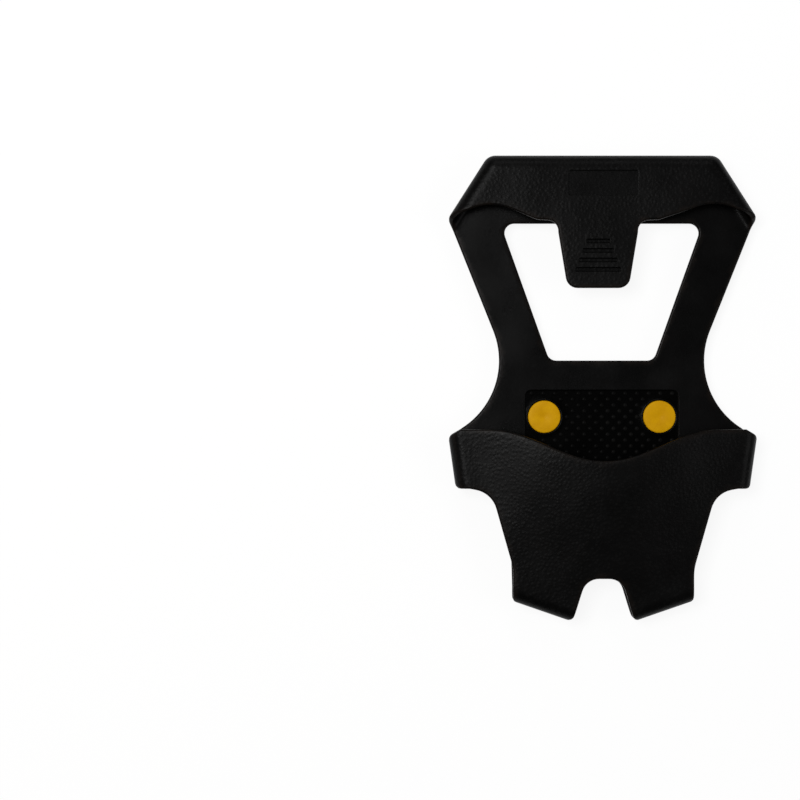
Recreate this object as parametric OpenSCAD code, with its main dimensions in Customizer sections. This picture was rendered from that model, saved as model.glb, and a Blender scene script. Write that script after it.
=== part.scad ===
// Ice cleat: a rubber overshoe that lies flat, with six plastic plugs that carry steel studs.
// X runs across the foot, -Y points to the toe, +Z is up, and the stud tips stand on Z = 0.
// Left and right are the wearer's, so left is +X.
// The rubber is one sheet folded over itself: a lower sheet under the shoe, an upper sheet over it.

/* [Rubber sheet] */
// Thickness of the rubber
wall = 2.6; // [2.2:0.1:3]
// Inner radius of the folds between the lower and the upper sheet
fold_r = 3.6; // [3.2:0.1:4.4]
// Gap left where two zones of the rubber flex against each other
flex_gap = 0.2; // [0.1:0.05:0.4]

/* [Forefoot] */
// From the toe tips to the front edge of the window
forefoot_len = 122; // [118:1:130]
// Width at the waist
waist_w = 96.4; // [92:0.4:102]
// Radius of the waist arcs
waist_r = 37.5; // [35:0.5:38.5]
// Width over the wings at their rear corners
wing_rear_w = 145; // [140:1:150]
// Width over the wings at their front corners
wing_front_w = 137.2; // [134:0.4:140]
// From the toe tips to the wings' front edges
wing_start = 62.2; // [60:0.2:64]
// Length of the wings along the foot
wing_len = 27.6; // [25:0.2:28]
// How far the wings' outer edges end in front of their rear corners
wing_lean = 3.7; // [2:0.1:5]
// Radius of the wings' outer corners
wing_r = 1.5; // [1:0.25:3]
// Width of the sole in front of the wings
sole_w = 87; // [84:1:92]
// Radius between the sole's side and a wing
wing_fillet = 3; // [2:0.5:4]

/* [Toe] */
// Width over the toe lobes
toe_w = 84; // [80:1:88]
// How far the lobes' outer corners lie behind their tips
lobe_rise = 9.5; // [8:0.5:11]
// Width of the toe notch between the lobes' tips
notch_w = 29; // [26:0.5:32]
// Width of the notch at its inner end
notch_end_w = 16.4; // [15:0.2:18]
// Radius of the corners at the notch's inner end
notch_r = 8; // [6:0.5:8]
// Depth of the notch
notch_depth = 20.5; // [19:0.5:23]
// Radius of the lobes' tips
lobe_r = 2; // [1:0.25:3]

/* [Toe cover] */
// Height of the cover's arch above the folds
crown = 7.3; // [4:0.1:10]
// Depth of the curve in the cover's mouth
mouth_dip = 14.5; // [12:0.5:18]
// Width of the curve in the cover's mouth
mouth_w = 106; // [90:1:116]
// From the toe tips to the place where the cover's sides begin to flare
flare_start = 25; // [22:0.5:28]
// Width of the cover where its sides meet the wings
cover_side_w = 104; // [98:0.5:106]
// How far the wings' front edges slope from the fold to the cover's side
wing_slope = 1.9; // [1.4:0.1:2.4]
// Radius between the cover's side and a wing
cover_fillet = 12; // [8:0.5:13]

/* [Window and straps] */
// Length of the window under the arch of the foot
window_len = 64.3; // [58:0.5:72]
// Width of the window at its front edge
window_front_w = 49; // [44:1:53]
// Width of the window at its rear edge
window_rear_w = 95; // [90:1:98]
// Radius of the window's corners
window_r = 4.5; // [3:0.5:5]

/* [Heel] */
// From the rear edge of the window to the rear fold
heel_len = 31.4; // [31:0.2:35]
// Width over the heel ears
ear_w = 144; // [140:1:148]
// From the rear fold to the tips of the ears
ear_setback = 29; // [27:0.5:31]
// Width over the corners of the rear fold
rear_w = 107; // [102:1:111]
// From the ears' tips back to the heel band's front edge where it meets the folds
band_setback = 3.2; // [2:0.1:4.5]
// From the rear fold to the hollows in the heel band's front edge
band_depth = 21.6; // [21.2:0.2:23]
// Width between the two hollows in the heel band's front edge
band_hollow_w = 104; // [98:1:104]
// Radius of the two hollows
band_hollow_r = 24; // [16:1:24]

/* [Pull tab] */
// From the rear fold to the tab's tip
tab_reach = 62.2; // [58:0.2:66]
// Width of the tab where it bends
tab_root_w = 37; // [34:0.5:40]
// Width of the tab at its tip
tab_tip_w = 28.4; // [26:0.2:30]
// How far the tab lies to the right of the middle
tab_shift = 2.6; // [0:0.2:4]
// Radius of the tab's corners
tab_r = 5.5; // [3:0.5:6]
// Radius between the tab and the heel band
tab_fillet = 5; // [3:0.5:5]
// Number of grip grooves in the tab
groove_count = 4; // [2:1:4]
// From the tab's tip to the middle of the first grip groove
groove_start = 8.6; // [7:0.2:9]
// Distance from one grip groove to the next
groove_pitch = 4.4; // [3.4:0.1:4.6]
// Width of a grip groove
groove_w = 2; // [1:0.1:2.4]
// Depth of a grip groove
groove_depth = 0.7; // [0.4:0.1:1]
// Length of the grip groove nearest the tab's tip
groove_len = 21.4; // [16:0.2:22]
// How much shorter each next groove is
groove_step = 3.4; // [1:0.2:4]
// Length of the smooth panel on the heel band
panel_len = 33; // [20:1:36]
// Width of the smooth panel
panel_w = 12; // [10:0.5:13]
// Depth of the smooth panel
panel_depth = 0.3; // [0.2:0.1:0.8]

/* [Tread] */
// Height of the tread under the lower sheet
tread_h = 1.5; // [1.2:0.1:2.2]
// Distance from one tread cell to the next
cell_pitch = 5.8; // [5.6:0.05:5.9]
// Diameter of a tread cell
cell_d = 4.9; // [4.2:0.1:5.1]
// Diameter of the small holes between the cells
pore_d = 1.9; // [1:0.1:2]
// Cells across the foot
cell_columns = 12; // [8:1:12]
// Cells along the forefoot
forefoot_rows = 13; // [8:1:13]
// Cells along the heel
heel_rows = 4; // [3:1:4]
// From the toe tips to the front edge of the forefoot tread
tread_start = 31.5; // [28:0.5:34]
// Depth of the recess in the bed over the forefoot's tread
bed_sink = 0.4; // [0.2:0.1:0.6]
// Width of the smooth rim round each head in that recess
head_rim = 0.8; // [0.4:0.1:1.2]
// How far that recess reaches past the tread
bed_margin = 1.4; // [1:0.1:1.6]
// Diameter of the smooth boss round each stud
boss_d = 16.4; // [15:0.1:16.6]

/* [Studs] */
// Distance between the two studs under the ball of the foot
ball_spacing = 54; // [48:1:58]
// Distance between the two studs under the toes
toe_spacing = 43.5; // [38:0.5:50]
// Distance between the two studs under the heel
heel_spacing = 49.6; // [44:0.4:56]
// From the toe tips to the toe studs
toe_row = 39.2; // [36:0.2:46]
// From the toe tips to the ball studs
ball_row = 95.6; // [90:0.2:98]
// From the rear fold to the heel studs
heel_row = 14.8; // [14.4:0.1:16]
// Diameter of a plug's head
head_d = 15.2; // [13:0.1:15.4]
// Thickness of a plug's head
head_t = 1.5; // [1.2:0.1:2.2]
// Depth that a head is sunk into the rubber
head_sink = 0.7; // [0.4:0.1:1]
// Diameter of a plug's neck
neck_d = 8; // [7.4:0.1:9]
// Diameter of a plug's collar
collar_d = 12.4; // [11:0.1:14]
// Thickness of a plug's collar
collar_t = 2.2; // [1.8:0.1:3]
// Chamfer on a plug's rims
plug_chamfer = 0.6; // [0.3:0.1:0.8]
// Diameter of a stud's body
body_d = 4.6; // [4:0.1:5]
// How far a stud's body stands out of its collar
body_out = 0.5; // [0.3:0.1:1]
// Diameter of a stud's tip
tip_d = 2.6; // [2.2:0.1:3.4]
// How far a stud's tip stands out of its collar
tip_out = 2.6; // [2.2:0.1:4]
// Diameter of the flange that holds a stud in its plug
flange_d = 6.2; // [5.6:0.1:6.6]
// Thickness of the flange
flange_t = 1; // [0.8:0.1:1.2]
// Chamfer round a stud's tip
tip_chamfer = 0.4; // [0.2:0.05:0.6]
// Clearance between a plug and the rubber
plug_fit = 0.1; // [0.05:0.05:0.2]
// Clearance between a stud and its plug
stud_fit = 0.03; // [0.02:0.01:0.05]

/* [Node] */
// The node to draw, or all of them

/* [Hidden] */
// Heights, from the ground up
collar_z = tip_out;
tread_z = collar_z + collar_t;
lower_z = tread_z + tread_h;
bed_z = lower_z + wall;
fold_z = bed_z + fold_r;
upper_z = fold_z + fold_r;
top_z = upper_z + wall;
head_z = bed_z - head_sink;
fold_out = fold_r + wall;
tab_axis_z = upper_z + wall / 2;

// Places along the foot
total_len = forefoot_len + window_len + heel_len;
toe_y = -total_len / 2;
wing_front_y = toe_y + wing_start;
wing_rear_y = wing_front_y + wing_len;
window_front_y = toe_y + forefoot_len;
window_rear_y = window_front_y + window_len;
rear_y = toe_y + total_len;
strap_front_y = window_front_y + window_r + 1;
strap_rear_y = window_rear_y - window_r - 1;
ear_y = rear_y - ear_setback;
notch_y = toe_y + notch_depth;
flare_y = toe_y + flare_start;
tab_edge_y = window_rear_y + 0.5;
tab_y = tab_edge_y - 1.06 * tab_fillet;
forefoot_tread_y = toe_y + tread_start + forefoot_rows * cell_pitch / 2;
heel_tread_y = rear_y - fold_out - heel_rows * cell_pitch / 2;

// Points on the left half of the outline, where the folds begin
rear_corner = [rear_w / 2, rear_y];
ear_tip = [ear_w / 2, ear_y];
wing_front = [wing_front_w / 2 - fold_out, wing_front_y];
wing_rear = [wing_rear_w / 2 - fold_out, wing_rear_y];
lobe_tip = [notch_w / 2, toe_y];
lobe_corner = [toe_w / 2, toe_y + lobe_rise];
waist_center = [waist_w / 2 + waist_r, window_front_y];

// Each stud's name and place
studs = [
    for (row = [
        ["ball", ball_spacing, toe_y + ball_row],
        ["toe", toe_spacing, toe_y + toe_row],
        ["heel", heel_spacing, rear_y - heel_row]
    ])
    for (side = [["left", 1], ["right", -1]])
        [str(row[0], "_", side[0]), [side[1] * row[1] / 2, row[2]]]
];

// The radius that lets the tab turn through a right angle without touching the band
tab_socket_r = wall / sqrt(2) + flex_gap / 2;
// Smoothness of exact rounds, and number of steps in a corner of an outline
$fn = 64;
corner_steps = 6;
// Larger than any piece, for cutting away
far = 400;

// Outline helpers

function unit(v) = v / norm(v);
// The vector turned a quarter to its left
function turned(v) = [-v.y, v.x];
function angle_of(v) = atan2(v.y, v.x);

// The point where the line through a and b meets the line through c and d
function meet(a, b, c, d) =
    let (along = b - a, across = turned(d - c))
    a + along * (((c - a) * across) / (along * across));

// A corner at q rounded with radius r, between the edges from p and to s
function corner(p, q, s, r) =
    let (
        to_p = unit(p - q),
        to_s = unit(s - q),
        half = acos(to_p * to_s) / 2,
        center = q + unit(to_p + to_s) * r / sin(half),
        start = q + to_p * r / tan(half) - center,
        end = q + to_s * r / tan(half) - center,
        turn = atan2(turned(start) * end, start * end)
    )
    [
        for (i = [0 : corner_steps])
            let (a = angle_of(start) + turn * i / corner_steps)
            center + r * [cos(a), sin(a)]
    ];

// A closed outline from points [x, y, radius], where a radius of 0 stays sharp
function rounded(points) =
    let (n = len(points))
    [
        for (i = [0 : n - 1])
            let (p = points[(i + n - 1) % n], q = points[i], s = points[(i + 1) % n])
            each q[2] == 0
                ? [[q.x, q.y]]
                : corner([p.x, p.y], [q.x, q.y], [s.x, s.y], q[2])
    ];

// Points [x, y, radius] of the left half, followed by the same points mirrored
function both_sides(half) =
    concat(half, [for (i = [len(half) - 1 : -1 : 0]) [-half[i].x, half[i].y, half[i][2]]]);

// Fold lines: the outer edges moved in by the radius of the fold

ear_in = turned(unit(rear_corner - ear_tip)) * fold_out;
rear_in = meet(ear_tip + ear_in, rear_corner + ear_in, [0, rear_y - fold_out], [1, rear_y - fold_out]);
lobe_in = turned(unit(lobe_corner - lobe_tip)) * fold_out;
lobe_outer = meet(lobe_tip + lobe_in, lobe_corner + lobe_in, lobe_corner, lobe_corner + [0, 1]);
// The straps' outer edges run from the ears and touch the waist arcs
waist_angle = angle_of(ear_tip - waist_center) + acos(waist_r / norm(ear_tip - waist_center));
waist_touch = waist_center + waist_r * [cos(waist_angle), sin(waist_angle)];
ear_fold_end = meet(ear_tip + ear_in, rear_corner + ear_in, ear_tip, waist_touch);
// The heel band stops short of the folds by the flex gap
band_in = ear_in + unit(ear_in) * flex_gap;
band_rear_y = rear_y - fold_out - flex_gap;
band_rear = meet(ear_tip + band_in, rear_corner + band_in, [0, band_rear_y], [1, band_rear_y]);
band_end_y = ear_y + band_setback;
band_ear = meet(ear_tip + band_in, rear_corner + band_in, [0, band_end_y], [1, band_end_y]);
// The side of the notch, and where the toe fold meets it
notch_side = [notch_end_w / 2, notch_y];
seam_inner = meet(notch_side, lobe_tip, lobe_tip + lobe_in, lobe_outer);
// The wings' outer edges, and their rear ends
wing_out = -turned(unit(wing_rear - wing_front)) * fold_out;
wing_rear_tip = meet(
    wing_front + wing_out, wing_rear + wing_out, wing_rear, wing_rear + [fold_out, -wing_lean]
);
wing_front_tip = meet(wing_front + wing_out, wing_rear + wing_out, wing_front, wing_front + [1, 0]);

// Shapes in plan

module window_plan() {
    polygon(rounded(both_sides([
        [window_rear_w / 2, window_rear_y, window_r],
        [window_front_w / 2, window_front_y, window_r]
    ])));
}

module notch_plan() {
    below = lobe_tip + (lobe_tip - notch_side);
    polygon(rounded(both_sides([
        [below.x, below.y, 0],
        [notch_side.x, notch_side.y, notch_r]
    ])));
}

module lower_plan() {
    difference() {
        polygon(rounded(both_sides([
            [rear_in.x, rear_in.y, 0],
            [ear_fold_end.x, ear_fold_end.y, 0],
            [waist_touch.x, waist_touch.y, 0],
            [wing_rear.x, wing_rear.y, 0],
            [wing_front.x, wing_front.y, 0],
            [sole_w / 2, wing_front_y, wing_fillet],
            [lobe_outer.x, lobe_outer.y, 0],
            [seam_inner.x, seam_inner.y, 0]
        ])));
        window_plan();
        notch_plan();
        for (side = [1, -1])
            translate([side * waist_center.x, waist_center.y])
                circle(waist_r);
    }
}

// Points [x, y, radius] of one half of the heel band, whose tab lies off the middle
function band_half(tab_x) = [
    [band_rear.x, band_rear.y, 0],
    [band_ear.x, band_ear.y, 0],
    [band_hollow_w / 2, rear_y - band_depth, band_hollow_r],
    [tab_x + 2 * tab_fillet, tab_edge_y + 0.5, tab_fillet],
    [tab_x, tab_edge_y, tab_fillet],
    [tab_x, tab_y, 0]
];

module band_plan() {
    left = band_half(tab_root_w / 2 - tab_shift);
    right = band_half(tab_root_w / 2 + tab_shift);
    polygon(rounded(concat(left, [
        for (i = [len(right) - 1 : -1 : 0])
            [-right[i].x, right[i].y, right[i][2]]
    ])));
}

module tab_plan() {
    translate([-tab_shift, 0])
        polygon(rounded(both_sides([
            [tab_root_w / 2, tab_y, 0],
            [tab_tip_w / 2, rear_y - tab_reach, tab_r]
        ])));
}

// A strip across the foot from one place along it to another
module strip(from_y, to_y) {
    translate([-far / 2, from_y])
        square([far, to_y - from_y]);
}

// The lower sheet between two places along the foot
module lower_sheet(from_y, to_y) {
    translate([0, 0, lower_z])
        linear_extrude(wall)
            intersection() {
                lower_plan();
                strip(from_y, to_y);
            }
}

// Folds

module half_ring() {
    difference() {
        circle(fold_out);
        circle(fold_r);
        translate([-far, -far / 2])
            square([far, far]);
    }
}

// A straight fold from a to b that bulges to the right of the way there
module fold_run(a, b) {
    translate([a.x, a.y, fold_z])
        rotate([0, 0, angle_of(b - a)])
            rotate([90, 0, 90])
                linear_extrude(norm(b - a))
                    mirror([1, 0])
                        half_ring();
}

// Everything above a height outside the line from a to b, on the right of the way there
module outside_of(a, b, above = -far / 2) {
    translate([a.x, a.y, above])
        rotate([0, 0, angle_of(b - a)])
            translate([-far / 2, -far, 0])
                cube(far);
}

// The length of a straight fold from a to b that lies over an outline of points [x, y, radius]
module trimmed_fold(a, b, points) {
    intersection() {
        fold_run(a - (b - a), b + (b - a));
        linear_extrude(far)
            polygon(rounded(points));
    }
}

// A point moved on by a length, on the way there from another point
function beyond(from, to, length) = to + unit(to - from) * length;

module left_wing_fold() {
    margin = wing_out * flex_gap / fold_out;
    rear = wing_rear_tip + margin;
    front = wing_front_tip + margin;
    inner_rear = beyond(wing_rear_tip, wing_rear, fold_r);
    inner_front = beyond(wing_front_tip, wing_front, fold_r);
    color("#26262a")
        trimmed_fold(wing_front, wing_rear, [
            [inner_front.x, inner_front.y, 0],
            [front.x, front.y, wing_r],
            [rear.x, rear.y, wing_r],
            [inner_rear.x, inner_rear.y, 0]
        ]);
}

module right_wing_fold() {
    mirror([1, 0, 0])
        left_wing_fold();
}

module left_toe_fold() {
    margin = -unit(lobe_in) * flex_gap;
    tip = lobe_tip + margin;
    outer = lobe_corner + margin;
    inner_tip = beyond(lobe_tip, seam_inner, fold_r);
    color("#26262a")
        trimmed_fold(seam_inner, lobe_outer, [
            [inner_tip.x, inner_tip.y, 0],
            [tip.x, tip.y, lobe_r],
            [toe_w / 2, outer.y, lobe_r],
            [toe_w / 2, lobe_outer.y + fold_r, 0]
        ]);
}

module right_toe_fold() {
    mirror([1, 0, 0])
        left_toe_fold();
}

module rear_fold() {
    color("#26262a")
        fold_run(rear_in, [-rear_in.x, rear_in.y]);
}

module left_ear_fold() {
    upper_end = beyond(rear_corner, ear_tip, -2 * flex_gap);
    color("#26262a")
        difference() {
            fold_run(ear_fold_end - (rear_in - ear_fold_end), rear_in);
            outside_of(waist_touch, ear_tip);
            outside_of(band_ear, upper_end, fold_z);
        }
}

module right_ear_fold() {
    mirror([1, 0, 0])
        left_ear_fold();
}

// The round corner between the rear fold and the left ear's fold
module left_heel_corner() {
    start = angle_of(-ear_in);
    color("#26262a")
        translate([rear_in.x, rear_in.y, fold_z])
            rotate([0, 0, start])
                rotate_extrude(angle = 90 - start)
                    half_ring();
}

module right_heel_corner() {
    mirror([1, 0, 0])
        left_heel_corner();
}

// Lower sheet

// The stepped hole that a plug sits in
module plug_seat(place) {
    translate([place.x, place.y, 0]) {
        cylinder(h = bed_z + 1, d = neck_d + 2 * plug_fit);
        translate([0, 0, head_z])
            cylinder(h = wall, d = head_d + 2 * plug_fit);
    }
}

// The shallow recess in the bed over the tread, with a smooth rim left round each head
module bed_recess() {
    translate([0, 0, bed_z - bed_sink])
        linear_extrude(wall)
            difference() {
                translate([0, forefoot_tread_y])
                    square(
                        [cell_columns, forefoot_rows] * cell_pitch + 2 * [bed_margin, bed_margin],
                        center = true
                    );
                for (s = studs)
                    translate(s[1])
                        circle(d = head_d + 2 * head_rim);
            }
}

module forefoot_sole() {
    color("#202024")
        difference() {
            lower_sheet(toe_y, strap_front_y - flex_gap / 2);
            bed_recess();
            for (s = studs)
                plug_seat(s[1]);
        }
}

module left_strap() {
    color("#232327")
        difference() {
            lower_sheet(strap_front_y + flex_gap / 2, strap_rear_y - flex_gap / 2);
            outside_of([0, 1], [0, 0]);
        }
}

module right_strap() {
    mirror([1, 0, 0])
        left_strap();
}

module heel_sole() {
    color("#202024")
        difference() {
            lower_sheet(strap_rear_y + flex_gap / 2, rear_y);
            for (s = studs)
                plug_seat(s[1]);
        }
}

// Tread

// Shortest distance from a point to any stud
function stud_distance(p) = min([for (s = studs) norm(p - s[1])]);

// A grid of round holes about a centre, leaving out those with their middle nearer to a stud than allowed
module holes(columns, rows, center_y, d, nearest) {
    for (i = [0 : columns - 1], j = [0 : rows - 1]) {
        p = [(i - (columns - 1) / 2) * cell_pitch, center_y + (j - (rows - 1) / 2) * cell_pitch];
        if (stud_distance(p) > nearest)
            translate(p)
                circle(d = d, $fn = 24);
    }
}

// One circle round each stud from the first to the last
module rounds(first, last, d) {
    for (i = [first : last])
        translate(studs[i][1])
            circle(d = d);
}

// A pad of round cells with small pores between them; smooth bosses round its studs close part of the
// cells that reach under them
module tread(rows, center_y, first, last) {
    translate([0, 0, tread_z])
        linear_extrude(tread_h)
            difference() {
                union() {
                    difference() {
                        translate([0, center_y])
                            square([cell_columns * cell_pitch, rows * cell_pitch], center = true);
                        holes(cell_columns, rows, center_y, cell_d, boss_d / 2);
                        holes(cell_columns - 1, rows - 1, center_y, pore_d, (boss_d + pore_d) / 2);
                    }
                    rounds(first, last, boss_d);
                }
                rounds(first, last, neck_d + 2 * plug_fit);
            }
}

module forefoot_tread() {
    color("#2c2c30")
        tread(forefoot_rows, forefoot_tread_y, 0, 3);
}

module heel_tread() {
    color("#2c2c30")
        tread(heel_rows, heel_tread_y, 4, 5);
}

// Toe cover: an arched sheet cut to its outline

// The cover's edges stop short of the folds by the flex gap
cover_side = [cover_side_w / 2, wing_front_y - wing_slope];
cover_toe_outer = lobe_outer + unit(lobe_in) * flex_gap;
cover_toe_inner = seam_inner + unit(lobe_in) * flex_gap;
cover_wing_front = wing_front - [flex_gap, 0];
cover_wing_rear = wing_rear - [flex_gap, 0];
mouth_steps = 15;

function mouth_y(x) =
    wing_rear_y - (abs(x) < mouth_w / 2 ? mouth_dip * pow(cos(180 * x / mouth_w), 2) : 0);

module cover_plan() {
    difference() {
        polygon(rounded(both_sides(concat(
            [
                [cover_toe_inner.x, cover_toe_inner.y, 0],
                [cover_toe_outer.x, cover_toe_outer.y, 0],
                [toe_w / 2, flare_y, 2 * cover_fillet],
                [cover_side.x, cover_side.y, cover_fillet],
                [cover_wing_front.x, cover_wing_front.y, 0]
            ],
            [
                for (i = [0 : mouth_steps - 1])
                    let (x = cover_wing_rear.x * (1 - i / (mouth_steps - 0.5)))
                    [x, mouth_y(x), 0]
            ]
        ))));
        notch_plan();
    }
}

// Height of an arch over its middle, level where it meets the folds
function arch(s) = pow(1 - min(1, s * s), 1.5);

// Half the width that the arch spans at a place along the foot
function arch_reach(y) =
    lobe_outer.x + (wing_rear.x - lobe_outer.x) * (y - lobe_outer.y) / (wing_rear_y - lobe_outer.y);

// The line of the toe folds at a place across the foot
function seam_y(x) =
    lobe_outer.y - (lobe_outer.x - abs(x)) * lobe_rise / (toe_w / 2 - notch_w / 2);

function cover_rise(x, y) =
    crown * arch(x / arch_reach(y)) * arch((wing_rear_y - y) / (wing_rear_y - seam_y(x)));

// A net of points a little larger than the cover
shell_columns = 31;
shell_rows = 23;
shell_x = wing_rear.x + 1;
shell_y0 = seam_y(0) - 1;
shell_y1 = wing_rear_y + 1;
shell_count = shell_columns * shell_rows;

shell_top = [
    for (row = [0 : shell_rows - 1], column = [0 : shell_columns - 1])
        let (
            x = shell_x * (2 * column / (shell_columns - 1) - 1),
            y = shell_y0 + (shell_y1 - shell_y0) * row / (shell_rows - 1)
        )
        [x, y, top_z + cover_rise(x, y)]
];
shell_below = [for (p = shell_top) p - [0, 0, wall]];

// The points round the rim of the net, counter-clockwise from above
shell_rim = concat(
    [for (i = [0 : shell_columns - 2]) i],
    [for (j = [0 : shell_rows - 2]) (j + 1) * shell_columns - 1],
    [for (i = [shell_columns - 1 : -1 : 1]) (shell_rows - 1) * shell_columns + i],
    [for (j = [shell_rows - 1 : -1 : 1]) j * shell_columns]
);

shell_faces = concat(
    [
        for (row = [0 : shell_rows - 2], column = [0 : shell_columns - 2])
            let (
                a = row * shell_columns + column,
                b = a + 1,
                c = b + shell_columns,
                d = a + shell_columns
            )
            each [
                [a, c, b],
                [a, d, c],
                [shell_count + a, shell_count + b, shell_count + c],
                [shell_count + a, shell_count + c, shell_count + d]
            ]
    ],
    [
        for (i = [0 : len(shell_rim) - 1])
            let (a = shell_rim[i], b = shell_rim[(i + 1) % len(shell_rim)])
            each [
                [a, b, shell_count + b],
                [a, shell_count + b, shell_count + a]
            ]
    ]
);

module toe_cover() {
    color("#29292d")
        intersection() {
            polyhedron(concat(shell_top, shell_below), shell_faces);
            linear_extrude(far)
                cover_plan();
        }
}

// Heel band and pull tab

// A bar along the line where the tab bends
module tab_bar(r, length) {
    translate([-length / 2 - tab_shift, tab_y, tab_axis_z])
        rotate([0, 90, 0])
            cylinder(h = length, r = r);
}

module heel_band() {
    color("#29292d")
        difference() {
            translate([0, 0, upper_z])
                linear_extrude(wall)
                    band_plan();
            tab_bar(tab_socket_r, tab_root_w + 2 * tab_fillet);
            translate([-panel_len / 2, rear_y - fold_out - panel_w - 1.2, top_z - panel_depth])
                cube([panel_len, panel_w, wall]);
        }
}

module pull_tab() {
    color("#29292d")
        difference() {
            union() {
                translate([0, 0, upper_z])
                    linear_extrude(wall)
                        tab_plan();
                tab_bar(wall / 2, tab_root_w);
            }
            for (i = [0 : groove_count - 1]) {
                length = groove_len - i * groove_step;
                translate([
                    -length / 2 - tab_shift,
                    rear_y - tab_reach + groove_start + i * groove_pitch - groove_w / 2,
                    top_z - groove_depth
                ])
                    cube([length, groove_w, wall]);
            }
        }
}

// Plugs and studs

// Half the outline of a stud, grown by a clearance
module stud_profile(grow) {
    body_top = head_z - flange_t;
    polygon([
        [0, -grow],
        [tip_d / 2 - tip_chamfer + grow, -grow],
        [tip_d / 2 + grow, tip_chamfer],
        [tip_d / 2 + grow, collar_z - body_out - grow],
        [body_d / 2 + grow, collar_z - body_out - grow],
        [body_d / 2 + grow, body_top - grow],
        [flange_d / 2 + grow, body_top - grow],
        [flange_d / 2 + grow, head_z + grow],
        [0, head_z + grow]
    ]);
}

module stud(place) {
    color("#c9ccd0")
        translate([place.x, place.y, 0])
            rotate_extrude()
                stud_profile(0);
}

module plug(place) {
    head_top = head_z + head_t;
    color("#d9a514")
        translate([place.x, place.y, 0])
            rotate_extrude()
                difference() {
                    polygon([
                        [0, collar_z],
                        [collar_d / 2 - plug_chamfer, collar_z],
                        [collar_d / 2, collar_z + plug_chamfer],
                        [collar_d / 2, tread_z],
                        [neck_d / 2, tread_z],
                        [neck_d / 2, head_z],
                        [head_d / 2, head_z],
                        [head_d / 2, head_top - plug_chamfer],
                        [head_d / 2 - plug_chamfer, head_top],
                        [0, head_top]
                    ]);
                    stud_profile(stud_fit);
                }
}

forefoot_sole();
forefoot_tread();
toe_cover();
left_wing_fold();
right_wing_fold();
left_toe_fold();
right_toe_fold();
left_strap();
right_strap();
heel_sole();
heel_tread();
rear_fold();
left_heel_corner();
right_heel_corner();
left_ear_fold();
right_ear_fold();
heel_band();
pull_tab();
for (s = studs) {
    plug(s[1]);
    stud(s[1]);
}
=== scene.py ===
import math

import bmesh
import bpy
import numpy as np
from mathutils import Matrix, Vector
from mathutils.geometry import delaunay_2d_cdt


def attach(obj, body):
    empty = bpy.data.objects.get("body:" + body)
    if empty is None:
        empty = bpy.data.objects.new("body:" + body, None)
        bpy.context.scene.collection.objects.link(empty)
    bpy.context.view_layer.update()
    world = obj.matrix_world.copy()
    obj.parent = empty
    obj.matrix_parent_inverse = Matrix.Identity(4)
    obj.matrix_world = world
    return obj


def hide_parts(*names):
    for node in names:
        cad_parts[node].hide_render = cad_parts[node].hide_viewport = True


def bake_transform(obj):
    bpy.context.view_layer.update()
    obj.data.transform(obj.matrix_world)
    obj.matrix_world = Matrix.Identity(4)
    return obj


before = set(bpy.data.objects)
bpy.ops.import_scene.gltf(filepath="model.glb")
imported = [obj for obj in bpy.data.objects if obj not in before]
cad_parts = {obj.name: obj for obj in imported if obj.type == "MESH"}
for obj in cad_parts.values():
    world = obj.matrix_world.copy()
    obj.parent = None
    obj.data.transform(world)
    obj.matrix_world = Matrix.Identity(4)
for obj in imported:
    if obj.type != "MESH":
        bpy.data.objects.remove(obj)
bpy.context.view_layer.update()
mm = 0.001  # the part's sizes are in millimetres, as in its source


meshing = {
    "step": 2.6,          # spacing of the rubber's points
    "rowGap": 0.87,       # between rows of these points, as a share of the step
    "lineGap": 0.6,       # between these points and a drawn line, as a share of the step
    "sharedGap": 1.02,    # longest gap in a line that a fold shares, as a share of the step
    "samePoint": 0.02,    # points closer than this are one point
    "planarGap": 1e-5,    # the same, where a flat sheet is split into triangles
    "weld": 0.01,         # joins sheets and folds
    "padWeld": 0.002,     # joins the two sides of a tread
    "cutGap": 1e-4,       # points this close to a cut lie on it
    "rimTurn": 55.0,      # degrees, edges that turn more are rounded
    "sharpTurn": 40.0,    # degrees, edges of plugs and studs that turn more look sharp
    "normalWeight": 60,
}


# small drawing helpers, flat points are 2-D vectors

def flat(x, y):
    return Vector((x, y))


def turned(v):
    return Vector((-v.y, v.x))


def polar(angle, radius=1.0):
    return Vector((radius * math.cos(angle), radius * math.sin(angle)))


def angleOf(v):
    return math.atan2(v.y, v.x)


def mirrored(points):
    return [flat(-p.x, p.y) for p in reversed(points)]


def meet(a, b, c, d):
    along = b - a
    across = turned(d - c)
    return a + along * ((c - a).dot(across) / along.dot(across))


def stretch(a, b, step):  # points from a towards b, without b
    count = max(1, math.ceil((b - a).length / step))
    return [a.lerp(b, i / count) for i in range(count)]


def arc(centre, radius, start, end, count):
    return [centre + polar(start + (end - start) * i / count, radius) for i in range(count + 1)]


def roundCorner(p, q, s, radius, count=8):
    toP = (p - q).normalized()
    toS = (s - q).normalized()
    half = math.acos(toP.dot(toS)) / 2
    centre = q + (toP + toS).normalized() * (radius / math.sin(half))
    start = q + toP * (radius / math.tan(half)) - centre
    end = q + toS * (radius / math.tan(half)) - centre
    turn = math.atan2(turned(start).dot(end), start.dot(end))
    return arc(centre, radius, angleOf(start), angleOf(start) + turn, count)


def roundBox(middle, width, depth, radius, count=3):
    x, y = width / 2, depth / 2
    corners = [flat(x, y), flat(-x, y), flat(-x, -y), flat(x, -y)]
    loop = []
    for i in range(4):
        loop += roundCorner(corners[i - 1], corners[i], corners[(i + 1) % 4], radius, count)
    return [middle + p for p in loop]


def filledIn(loop, step):  # long edges get points in between
    loop = [p for i, p in enumerate(loop) if (p - loop[i - 1]).length > meshing["samePoint"]]
    return [q for i, p in enumerate(loop) for q in stretch(p, loop[(i + 1) % len(loop)], step)]


# the rubber: one sheet, folded over at the toe, the wings, the ears and the heel

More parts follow.
